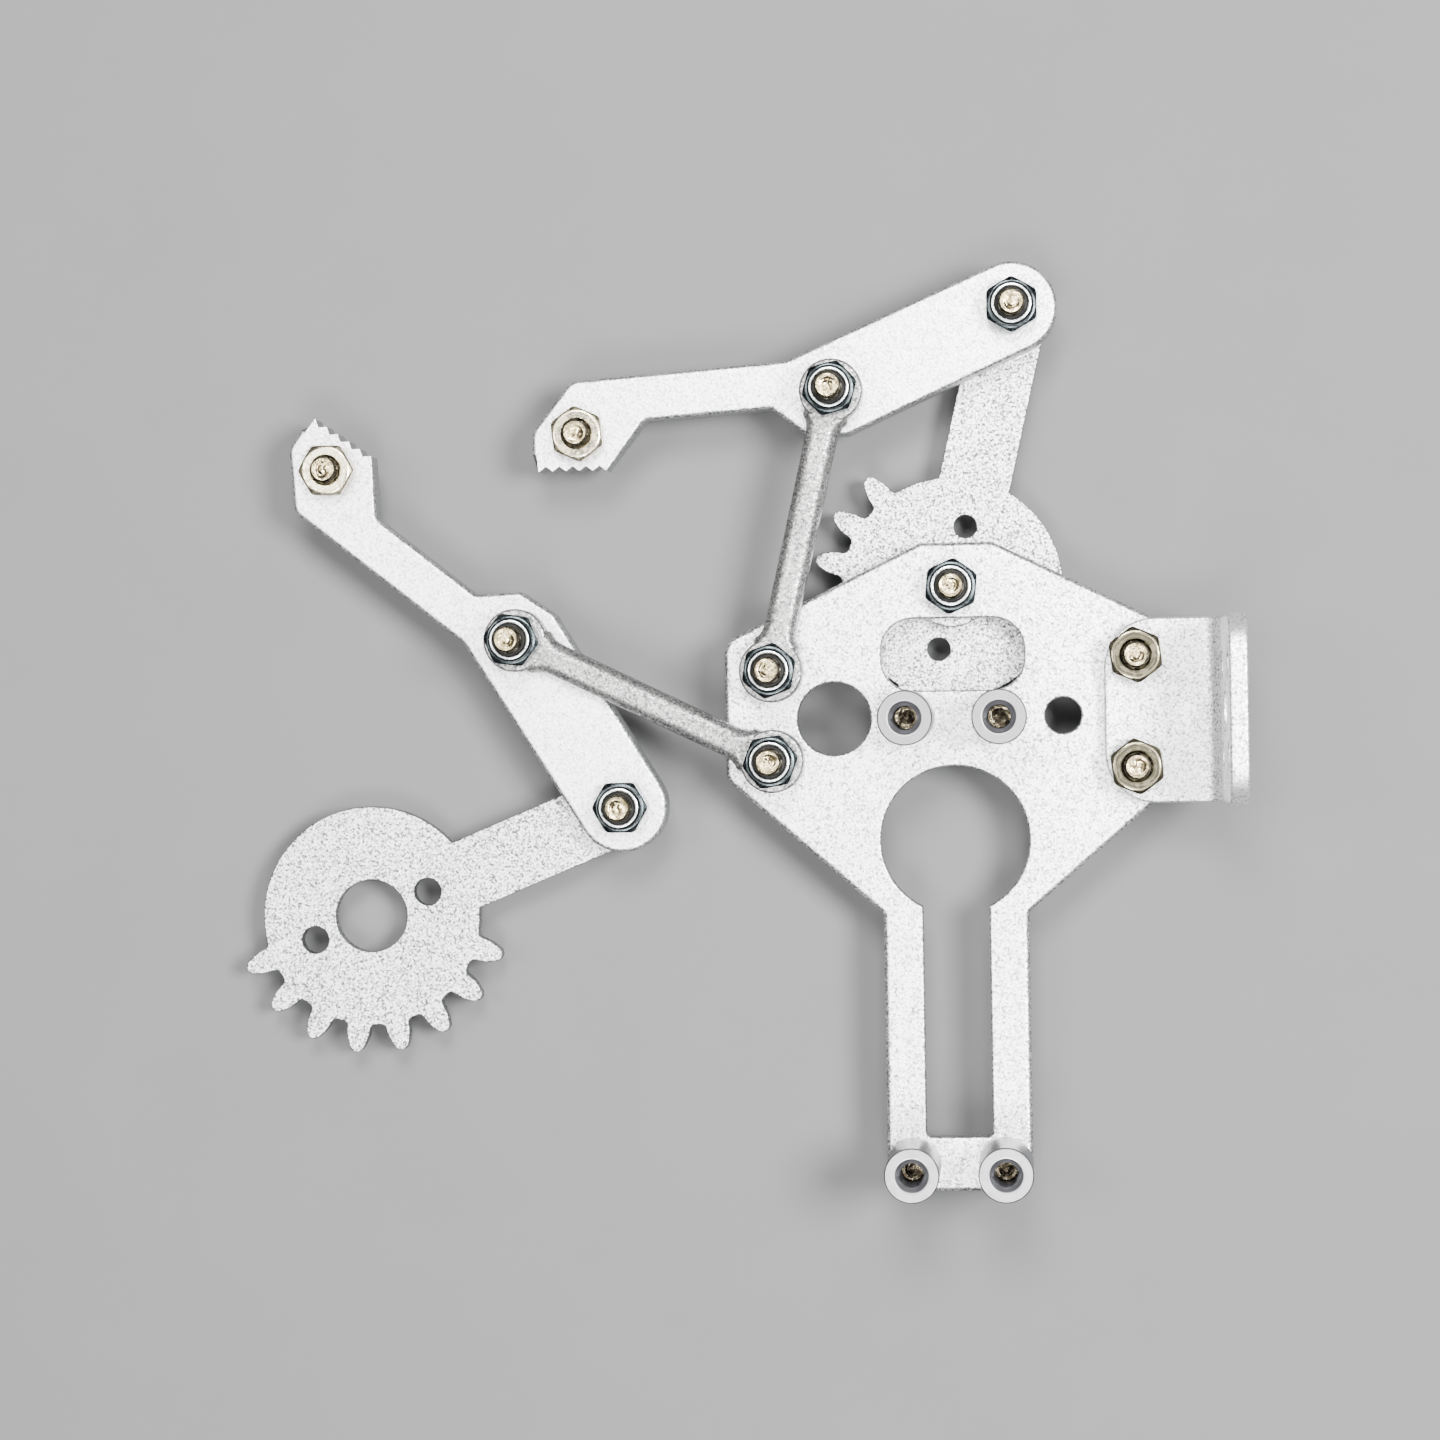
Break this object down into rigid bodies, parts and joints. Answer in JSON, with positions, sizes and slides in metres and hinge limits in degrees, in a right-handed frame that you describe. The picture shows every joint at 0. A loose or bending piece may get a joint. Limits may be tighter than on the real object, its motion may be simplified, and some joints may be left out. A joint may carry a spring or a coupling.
{
  "type": "electric two finger gripper",
  "caption": "Aluminium plate gripper for a hobby servo: two toothed fingers on parallel linkages, gear arms, servo frame and an L-shaped wrist bracket.",
  "frame": {"origin": "centre of the wrist flange's outer face, on the axis of its bore", "axes": "+X out of the wrist flange, away from the jaws; +Z towards the servo side of the main plate; the jaws point along -X and swing in the XY plane"},
  "size_m": [0.1119, 0.1027, 0.0286],
  "materials": {
    "blasted_plate": "sand-blasted, anodised silver",
    "blasted_bracket": "sand-blasted, anodised silver",
    "blasted_gear": "sand-blasted, anodised silver, coarser",
    "blasted_finger": "sand-blasted, anodised silver",
    "blasted_link": "sand-blasted, anodised silver",
    "turned_aluminium": "turned, satin",
    "turned_steel": "turned, satin",
    "nickel_screw": "nickel plated",
    "nickel_nut": "nickel plated",
    "zinc_lock_nut": "blue zinc plated",
    "nylon": "matt moulded nylon"
  },
  "bodies": {
    "base": {"main_plate": "blasted_plate", "wrist_bracket": "blasted_bracket", "bracket_screws": "nickel_screw", "bracket_nuts": "nickel_nut", "servo_standoffs": "turned_aluminium", "standoff_screws": "nickel_screw", "idler_bush": "turned_steel", "idler_washer": "turned_steel", "idler_axis_screw": "nickel_screw", "idler_axis_nut": "zinc_lock_nut", "upper_pivot_screw": "nickel_screw", "upper_pivot_nut": "zinc_lock_nut", "lower_pivot_screw": "nickel_screw", "lower_pivot_nut": "zinc_lock_nut", "base_nylon_rings": "nylon"},
    "idler_arm": {"idler_gear": "blasted_gear", "upper_joint_screw": "nickel_screw", "upper_joint_nut": "zinc_lock_nut", "upper_joint_nylon_ring": "nylon"},
    "upper_jaw": {"upper_finger": "blasted_finger", "upper_link_screw": "nickel_screw", "upper_link_nut": "zinc_lock_nut", "upper_link_nylon_ring": "nylon", "upper_tip_screw": "nickel_screw", "upper_tip_nut": "nickel_nut"},
    "upper_link_bar": {"upper_link": "blasted_link"},
    "lower_link_bar": {"lower_link": "blasted_link"},
    "lower_jaw": {"lower_finger": "blasted_finger", "lower_link_screw": "nickel_screw", "lower_link_nut": "zinc_lock_nut", "lower_link_nylon_ring": "nylon", "lower_tip_screw": "nickel_screw", "lower_tip_nut": "nickel_nut"},
    "driven_arm": {"driven_gear": "blasted_gear", "lower_joint_screw": "nickel_screw", "lower_joint_nut": "zinc_lock_nut", "lower_joint_nylon_ring": "nylon"}
  },
  "joints": [
    {"name": "idler_gear_hinge", "type": "hinge", "parent": "base", "child": "idler_arm", "pos_m": [-0.0312, 0.014, -0.0115], "axis": [0, 0, 1], "range_deg": [-19, 24]},
    {"name": "upper_finger_hinge", "type": "hinge", "parent": "idler_arm", "child": "upper_jaw", "pos_m": [-0.02409, 0.04479, -0.0115], "axis": [0, 0, 1], "range_deg": [-24, 19]},
    {"name": "upper_link_hinge", "type": "hinge", "parent": "base", "child": "upper_link_bar", "pos_m": [-0.0512, 0.005, -0.0115], "axis": [0, 0, 1], "range_deg": [-19, 24]},
    {"name": "lower_link_hinge", "type": "hinge", "parent": "base", "child": "lower_link_bar", "pos_m": [-0.0512, -0.005, -0.0115], "axis": [0, 0, 1], "range_deg": [-3, 70]},
    {"name": "lower_finger_hinge", "type": "hinge", "parent": "lower_link_bar", "child": "lower_jaw", "pos_m": [-0.0796, 0.00885, -0.0115], "axis": [0, 0, 1], "range_deg": [-5, 12]},
    {"name": "driven_gear_hinge", "type": "hinge", "parent": "lower_jaw", "child": "driven_arm", "pos_m": [-0.06818, -0.00987, -0.0115], "axis": [0, 0, 1], "range_deg": [-45, 60]}
  ],
  "couplings": [
    {"joint": "upper_link_hinge", "follows": "idler_gear_hinge", "ratio": 1},
    {"joint": "upper_finger_hinge", "follows": "idler_gear_hinge", "ratio": -1}
  ]
}
